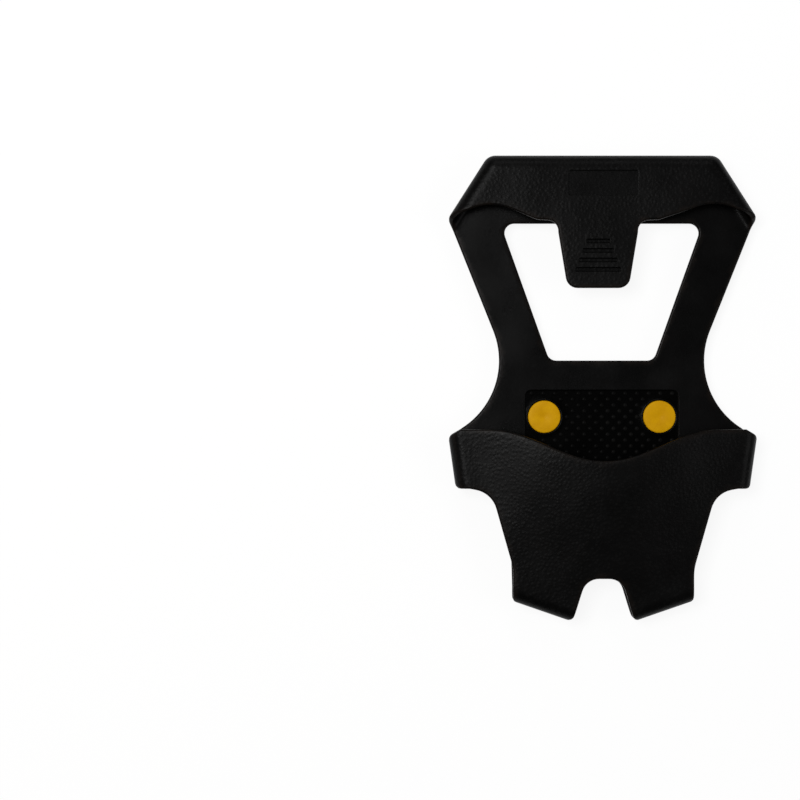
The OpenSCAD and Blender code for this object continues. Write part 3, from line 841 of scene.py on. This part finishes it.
bends = {  # the two bodies that a skin runs between, and where its bend starts and ends; the loop below only bakes each skin in place, it neither attaches nor bends it
    "forefoot_skin": ("forefoot", "toe_cover", (0, 0, 8.9), (0, 0, 16.1)),
    "waist_skin": ("forefoot", "straps", (0, 9.0, 0), (0, 28.3, 0)),
    "left_strap_skin": ("straps", "heel", (0, cuts["straps"], 0), (0, cuts["heel"], 0)),
    "right_strap_skin": ("straps", "heel", (0, cuts["straps"], 0), (0, cuts["heel"], 0)),
    "heel_skin": ("heel", "heel_band", (0, 0, 8.9), (0, 0, 16.1)),
    "tab_skin": ("heel_band", "pull_tab", (0, 77.5, 0), (0, 67.8, 0)),
}
for name, (bodyA, bodyB, start, end) in bends.items():
    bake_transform(skins[name])
print("rubber skins made:", ", ".join(skins))


# tread pads, bed dots, plugs and studs are placed by Geometry Nodes

def startTree(name, sizes):
    tree = bpy.data.node_groups.new(name, "GeometryNodeTree")
    tree.interface.new_socket(name="Geometry", in_out="OUTPUT", socket_type="NodeSocketGeometry")
    tree.interface.new_socket(name="Geometry", in_out="INPUT", socket_type="NodeSocketGeometry")
    kinds = {int: "NodeSocketInt", float: "NodeSocketFloat", Vector: "NodeSocketVector",
             bpy.types.Material: "NodeSocketMaterial", bpy.types.Object: "NodeSocketObject"}
    for label, value in sizes.items():
        tree.interface.new_socket(name=label, in_out="INPUT", socket_type=kinds[type(value)])
    return tree, addNode(tree, "NodeGroupInput").outputs


def finishTree(tree, geometry, material):
    real = fromNode(tree, "GeometryNodeRealizeInstances", {"Geometry": geometry})
    painted = fromNode(tree, "GeometryNodeSetMaterial", {"Geometry": real, "Material": material})
    addNode(tree, "NodeGroupOutput", {"Geometry": painted})


def runTree(name, tree, sizes, mesh=None):
    piece = newPiece(name, mesh or bpy.data.meshes.new(name))
    modifier = piece.modifiers.new(tree.name, "NODES")
    modifier.node_group = tree
    for item in tree.interface.items_tree:
        if item.in_out == "INPUT" and item.name in sizes:
            modifier[item.identifier] = sizes[item.name]
    return baked(piece)


def joined(tree, parts):
    node = addNode(tree, "GeometryNodeJoinGeometry")
    for part in parts:
        tree.links.new(part, node.inputs[0])
    return node.outputs[0]


def moved(tree, geometry, way):
    return fromNode(tree, "GeometryNodeTransform", {"Geometry": geometry, "Translation": way})


def gridPoints(tree, inputs, fewer):  # with 1 fewer row and column they lie between those of the full grid
    columns = calc(tree, "SUBTRACT", inputs["Columns"], fewer)
    rows = calc(tree, "SUBTRACT", inputs["Rows"], fewer)
    width = calc(tree, "MULTIPLY", calc(tree, "SUBTRACT", columns, 1.0), inputs["Pitch"])
    depth = calc(tree, "MULTIPLY", calc(tree, "SUBTRACT", rows, 1.0), inputs["Pitch"])
    grid = fromNode(tree, "GeometryNodeMeshGrid", {
        "Size X": width, "Size Y": depth, "Vertices X": columns, "Vertices Y": rows})
    return moved(tree, grid, inputs["Middle"])


def clearOfStuds(tree, inputs, reach):  # true for points further than reach from every stud
    place = fromNode(tree, "GeometryNodeInputPosition")
    parts = addNode(tree, "ShaderNodeSeparateXYZ", {0: place}).outputs
    folded = fromNode(tree, "ShaderNodeCombineXYZ", {
        "X": calc(tree, "ABSOLUTE", parts["X"], 0.0), "Y": parts["Y"]})
    gaps = [addNode(tree, "ShaderNodeVectorMath", {0: folded, 1: inputs[label]},
                    operation="DISTANCE").outputs["Value"] for label in ("Stud A", "Stud B")]
    return calc(tree, "GREATER_THAN", calc(tree, "MINIMUM", *gaps), reach)


def onGrid(tree, inputs, fewer, shape, nearest, scale=(1, 1, 1)):
    return fromNode(tree, "GeometryNodeInstanceOnPoints", {
        "Points": gridPoints(tree, inputs, fewer), "Instance": shape, "Scale": scale,
        "Selection": clearOfStuds(tree, inputs, nearest)})


def ringCurve(tree, radius, sides):
    return fromNode(tree, "GeometryNodeCurvePrimitiveCircle", {"Resolution": sides, "Radius": radius})


def makePad(tree, shapes, bottom, height):  # the filled curves as a closed plate
    curves = fromNode(tree, "GeometryNodeRealizeInstances", {"Geometry": joined(tree, shapes)})
    sheet = fromNode(tree, "GeometryNodeFillCurve", {"Curve": curves})
    lift = fromNode(tree, "ShaderNodeCombineXYZ", {"Z": bottom})
    below = moved(tree, sheet, lift)
    up = fromNode(tree, "ShaderNodeCombineXYZ", {"Z": height})
    raised = fromNode(tree, "GeometryNodeExtrudeMesh", {
        "Mesh": below, "Offset": up, "Offset Scale": 1.0, "Individual": False})
    turnedOver = fromNode(tree, "GeometryNodeFlipFaces", {"Mesh": below})
    return fromNode(tree, "GeometryNodeMergeByDistance", {
        "Geometry": joined(tree, [raised, turnedOver]), "Distance": meshing["padWeld"] * mm})


def ringsRoundStuds(tree, inputs, radius, sides):
    shape = ringCurve(tree, radius, sides)
    placed = []
    for label in ("Stud A", "Stud B"):
        for side in (1.0, -1.0):
            place = fromNode(tree, "ShaderNodeVectorMath", {0: inputs[label], 1: (side, 1, 1)},
                             operation="MULTIPLY")
            placed.append(moved(tree, shape, place))
    return placed


def makeTreadTree(sizes):
    tree, inputs = startTree("treadPad", sizes)
    bossRadius = calc(tree, "MULTIPLY", inputs["Boss"], 0.5)
    cellRadius = calc(tree, "MULTIPLY", inputs["Cell"], 0.5)
    poreRadius = calc(tree, "MULTIPLY", inputs["Pore"], 0.5)
    shapes = ringsRoundStuds(tree, inputs, inputs["Hole"], seat["holeSides"])
    cell = ringCurve(tree, cellRadius, treadPad["cellSides"])
    shapes.append(onGrid(tree, inputs, 0.0, cell, bossRadius))
    pore = ringCurve(tree, poreRadius, treadPad["poreSides"])
    shapes.append(onGrid(tree, inputs, 1.0, pore, calc(tree, "ADD", bossRadius, poreRadius)))
    margin = calc(tree, "MULTIPLY", inputs["Rim"], 2.0)
    sides = [calc(tree, "ADD", calc(tree, "MULTIPLY", count, inputs["Pitch"]), margin)
             for count in (inputs["Columns"], inputs["Rows"])]
    frameCurve = fromNode(tree, "GeometryNodeCurvePrimitiveQuadrilateral", {
        "Width": sides[0], "Height": sides[1]})
    shapes.append(moved(tree, frameCurve, inputs["Middle"]))
    pad = makePad(tree, shapes, inputs["Bottom"], inputs["Height"])
    bossStep = inputs["Boss Step"]
    bossHole = calc(tree, "ADD", inputs["Hole"], bossStep)
    bossRings = ringsRoundStuds(tree, inputs, bossRadius, treadPad["bossSides"])
    bossRings += ringsRoundStuds(tree, inputs, bossHole, seat["holeSides"])
    bosses = makePad(tree, bossRings, calc(tree, "SUBTRACT", inputs["Bottom"], bossStep), inputs["Height"])
    finishTree(tree, joined(tree, [pad, bosses]), inputs["Material"])
    return tree


def inPlane(p):
    return Vector((*p, 0)) * mm


def treadSizes(pad, studA, studB):
    return {
        "Pitch": treadPad["pitch"] * mm, "Cell": treadPad["cell"] * mm, "Pore": treadPad["pore"] * mm,
        "Columns": treadPad["columns"], "Rows": pad["rows"], "Middle": inPlane(pad["middle"]),
        "Stud A": inPlane(studA), "Stud B": inPlane(studB),
        "Boss": treadPad["boss"] * mm, "Boss Step": treadPad["bossStep"] * mm,
        "Hole": seat["holeRadius"] * mm, "Rim": treadPad["rim"] * mm,
        "Bottom": treadPad["bottom"] * mm, "Height": treadPad["height"] * mm, "Material": treadRubber,
    }


frontStuds = studPlaces["forefoot"]
heelStud = studPlaces["heel"]["heel_left"]
treads = {
    "forefoot": treadSizes(treadPlaces["forefoot"], frontStuds["ball_left"], frontStuds["toe_left"]),
    "heel": treadSizes(treadPlaces["heel"], heelStud, heelStud),
}
treadTree = makeTreadTree(treads["forefoot"])
for body, sizes in treads.items():
    pad = runTree(body + "_tread_pad", treadTree, sizes)
    rim = pad.modifiers.new("rim", "BEVEL")
    rim.width = treadPad["rounding"] * mm
    rim.segments = treadPad["roundingSteps"]
    rim.limit_method = "ANGLE"
    rim.use_clamp_overlap = True
    baked(pad)
    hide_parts(body + "_tread")
    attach(pad, body)
    print(pad.name, len(pad.data.polygons), "faces")


bedDots = {"pitch": 5.5, "columns": 13, "rows": 14, "radius": 1.2, "height": 0.5, "middleY": -38.05,
           "clear": 9.8, "segments": 8, "rings": 5}


def makeDotTree(sizes):
    tree, inputs = startTree("bedDots", sizes)
    dot = fromNode(tree, "GeometryNodeMeshUVSphere", {
        "Segments": bedDots["segments"], "Rings": bedDots["rings"], "Radius": inputs["Radius"]})
    squeeze = fromNode(tree, "ShaderNodeCombineXYZ", {"X": 1.0, "Y": 1.0, "Z": inputs["Flatness"]})
    grids = [onGrid(tree, inputs, fewer, dot, inputs["Clear"], squeeze) for fewer in (0.0, 1.0)]
    finishTree(tree, joined(tree, grids), inputs["Material"])
    return tree


patchFloor = rubber["bedTop"] - bedPatch["depth"]
dotSizes = {
    "Pitch": bedDots["pitch"] * mm, "Columns": bedDots["columns"], "Rows": bedDots["rows"],
    "Middle": Vector((0, bedDots["middleY"], patchFloor)) * mm,
    "Stud A": inPlane(frontStuds["ball_left"]), "Stud B": inPlane(frontStuds["toe_left"]),
    "Radius": bedDots["radius"] * mm, "Flatness": bedDots["height"] / bedDots["radius"],
    "Clear": bedDots["clear"] * mm, "Material": litDotRubber,
}
dots = runTree("bed_dots", makeDotTree(dotSizes), dotSizes)
for face in dots.data.polygons:
    face.use_smooth = True
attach(dots, "forefoot")
print("bed dots:", len(dots.data.polygons), "faces")


def revolve(name, profile, sides):  # profile runs from the axis to the axis
    net = bmesh.new()
    rings = []
    for radius, height in profile:
        if radius == 0:
            rings.append([net.verts.new((0, 0, height * mm))])
        else:
            rings.append([net.verts.new((*(polar(2 * math.pi * i / sides, radius) * mm), height * mm))
                          for i in range(sides)])
    for low, high in zip(rings, rings[1:]):
        for i in range(sides):
            corners = [low[i % len(low)], low[(i + 1) % len(low)],
                       high[(i + 1) % len(high)], high[i % len(high)]]
            unique = list(dict.fromkeys(corners))
            if len(unique) > 2:
                net.faces.new(unique)
    bmesh.ops.recalc_face_normals(net, faces=net.faces)
    for f in net.faces:
        f.smooth = True
    for e in net.edges:
        if len(e.link_faces) == 2 and e.calc_face_angle() > math.radians(meshing["sharpTurn"]):
            e.smooth = False
    mesh = bpy.data.meshes.new(name)
    net.to_mesh(mesh)
    net.free()
    return mesh


def quarter(radius, height, size, start, end, count=4):  # a rounded rim, angles in degrees
    middle = flat(radius, height)
    return [tuple(p) for p in arc(middle, size, math.radians(start), math.radians(end), count)]


plugShape = {"collar": 6.2, "collarLow": 2.6, "collarHigh": 4.8, "neck": 4.0, "head": 7.6,
             "headLow": 8.2, "headHigh": 9.7, "rounding": 0.6, "bore": 2.33, "boreTop": 3.8,
             "chamfer": 0.3, "chamferHeight": 0.15, "dimple": 1.5, "dimpleFloor": 1.1, "dimpleDepth": 0.12,
             "dimpleMiddle": 0.14, "sides": 48}

studShape = {"tip": 1.3, "tipLow": 0.0, "body": 2.3, "shoulder": 2.1, "rounding": 0.35, "dish": 0.35,
             "dishFloor": 0.7, "dishRim": 0.9, "top": 4.5, "sides": 32}


def plugProfile():
    s = plugShape
    r = s["rounding"]
    return [
        (0, s["boreTop"]), (s["bore"], s["boreTop"]), (s["bore"], s["collarLow"] + s["chamferHeight"]),
        (s["bore"] + s["chamfer"], s["collarLow"]),
        *quarter(s["collar"] - r, s["collarLow"] + r, r, -90, 0),
        (s["collar"], s["collarHigh"]), (s["neck"], s["collarHigh"]), (s["neck"], s["headLow"]),
        (s["head"], s["headLow"]),
        *quarter(s["head"] - r, s["headHigh"] - r, r, 0, 90),
        (s["dimple"], s["headHigh"]), (s["dimpleFloor"], s["headHigh"] - s["dimpleDepth"]),
        (0, s["headHigh"] - s["dimpleMiddle"]),
    ]


def studProfile():
    s = studShape
    r = s["rounding"]
    return [
        (0, s["tipLow"] + s["dish"]), (s["dishFloor"], s["tipLow"] + s["dish"]),
        (s["dishRim"], s["tipLow"]), *quarter(s["tip"] - r, s["tipLow"] + r, r, -60, 0),
        (s["tip"], s["shoulder"]), *quarter(s["body"] - r, s["shoulder"] + r, r, -90, 0),
        (s["body"], s["top"]), (0, s["top"]),
    ]


def makeSeatTree(sizes):
    tree, inputs = startTree("seatOnStuds", sizes)
    shape = addNode(tree, "GeometryNodeObjectInfo", {"Object": inputs["Shape"], "As Instance": True})
    placed = fromNode(tree, "GeometryNodeInstanceOnPoints", {
        "Points": inputs["Geometry"], "Instance": shape.outputs["Geometry"]})
    finishTree(tree, placed, inputs["Material"])
    return tree


for kind, profile, sides, material, slotName in (
        ("plug", plugProfile(), plugShape["sides"], yellowPlastic, "plug_plastic"),
        ("stud", studProfile(), studShape["sides"], studSteel, "stud_steel")):
    shape = newPiece(kind + "Shape", revolve(kind + "Shape", profile, sides))
    sizes = {"Shape": shape, "Material": material}
    seatTree = makeSeatTree(sizes)
    for body, places in studPlaces.items():
        points = bpy.data.meshes.new(kind + "Points")
        points.from_pydata([inPlane(p) for p in places.values()], [], [])
        piece = runTree(body + "_" + kind + "s", seatTree, sizes, points)
        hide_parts(*[kind + "_" + name for name in places])
        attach(piece, body)
    bpy.data.objects.remove(shape)
print("plugs and studs seated")


# floor, light and camera

stage = {
    "floorSize": 60.0,         # metres
    "floorColour": (0.9, 0.9, 0.9, 1),
    "glow": 0.9,               # share of plain white in the floor as seen or mirrored
    "world": 0.15,             # strength of the light from all round
    "cameraHeight": 0.9,       # metres
    "sensor": 36.0,
    "image": 800,              # pixels
    "pixel": 0.4674,           # millimetres, at the height of the part's outline
    "outlineHeight": 12.5,
    "centre": (602.6, 388.5),  # pixel of the part's middle
}


def makeFloor():
    size = stage["floorSize"] / 2
    mesh = bpy.data.meshes.new("floor")
    mesh.from_pydata([(-size, -size, 0), (size, -size, 0), (size, size, 0), (-size, size, 0)], [],
                     [(0, 1, 2, 3)])
    floor = newPiece("floor", mesh)
    material, tree = startMaterial("paleFloor")
    matt = fromNode(tree, "ShaderNodeBsdfDiffuse", {"Color": stage["floorColour"]})
    white = fromNode(tree, "ShaderNodeEmission", {"Color": (1, 1, 1, 1), "Strength": 1.0})
    ray = addNode(tree, "ShaderNodeLightPath").outputs
    seen = calc(tree, "MAXIMUM", ray["Is Camera Ray"], ray["Is Glossy Ray"])
    share = calc(tree, "MULTIPLY", seen, stage["glow"])
    surface = fromNode(tree, "ShaderNodeMixShader", {0: share, 1: matt, 2: white})
    addNode(tree, "ShaderNodeOutputMaterial", {"Surface": surface})
    mesh.materials.append(material)


lamps = {  # place and size in metres, watts, colour
    "mainLamp": ((-0.45, 0.2, 1.2), 0.5, 13.0, (1, 1, 1)),
    "leftLamp": ((0.85, -0.05, 0.8), 0.6, 3.0, (1, 1, 1)),
    "heelLamp": ((-0.1, 1.1, 0.8), 0.6, 3.0, (1, 1, 1)),
    "warmLamp": ((-1.1, 0.0, 0.3), 0.5, 1.4, (1, 0.82, 0.7)),
}


def makeLamps():
    for name, (place, size, watts, colour) in lamps.items():
        light = bpy.data.lights.new(name, "AREA")
        light.size = size
        light.energy = watts
        light.color = colour
        lamp = bpy.data.objects.new(name, light)
        lamp.location = place
        lamp.rotation_euler = (-Vector(place)).to_track_quat("-Z", "Y").to_euler()
        bpy.context.scene.collection.objects.link(lamp)
    world = bpy.data.worlds.new("softRoom")
    world.use_nodes = True
    tree = world.node_tree
    seen = addNode(tree, "ShaderNodeLightPath").outputs["Is Camera Ray"]
    room = tree.nodes["Background"].inputs
    room["Color"].default_value = (1, 1, 1, 1)
    tree.links.new(ranged(tree, seen, stage["world"], 1, 0, 1), room["Strength"])
    bpy.context.scene.world = world


def makeCamera():
    camera = bpy.data.cameras.new("camera")
    holder = bpy.data.objects.new("camera", camera)
    middle = stage["image"] / 2
    holder.location = ((middle - stage["centre"][0]) * stage["pixel"] * mm,
                       (stage["centre"][1] - middle) * stage["pixel"] * mm, stage["cameraHeight"])
    distance = stage["cameraHeight"] - stage["outlineHeight"] * mm
    camera.sensor_width = stage["sensor"]
    camera.lens = camera.sensor_width * distance / (stage["image"] * stage["pixel"] * mm)
    bpy.context.scene.collection.objects.link(holder)
    bpy.context.scene.camera = holder


makeFloor()
makeLamps()
makeCamera()
bpy.context.scene.view_settings.view_transform = "Standard"
print("floor, lamps and camera set")
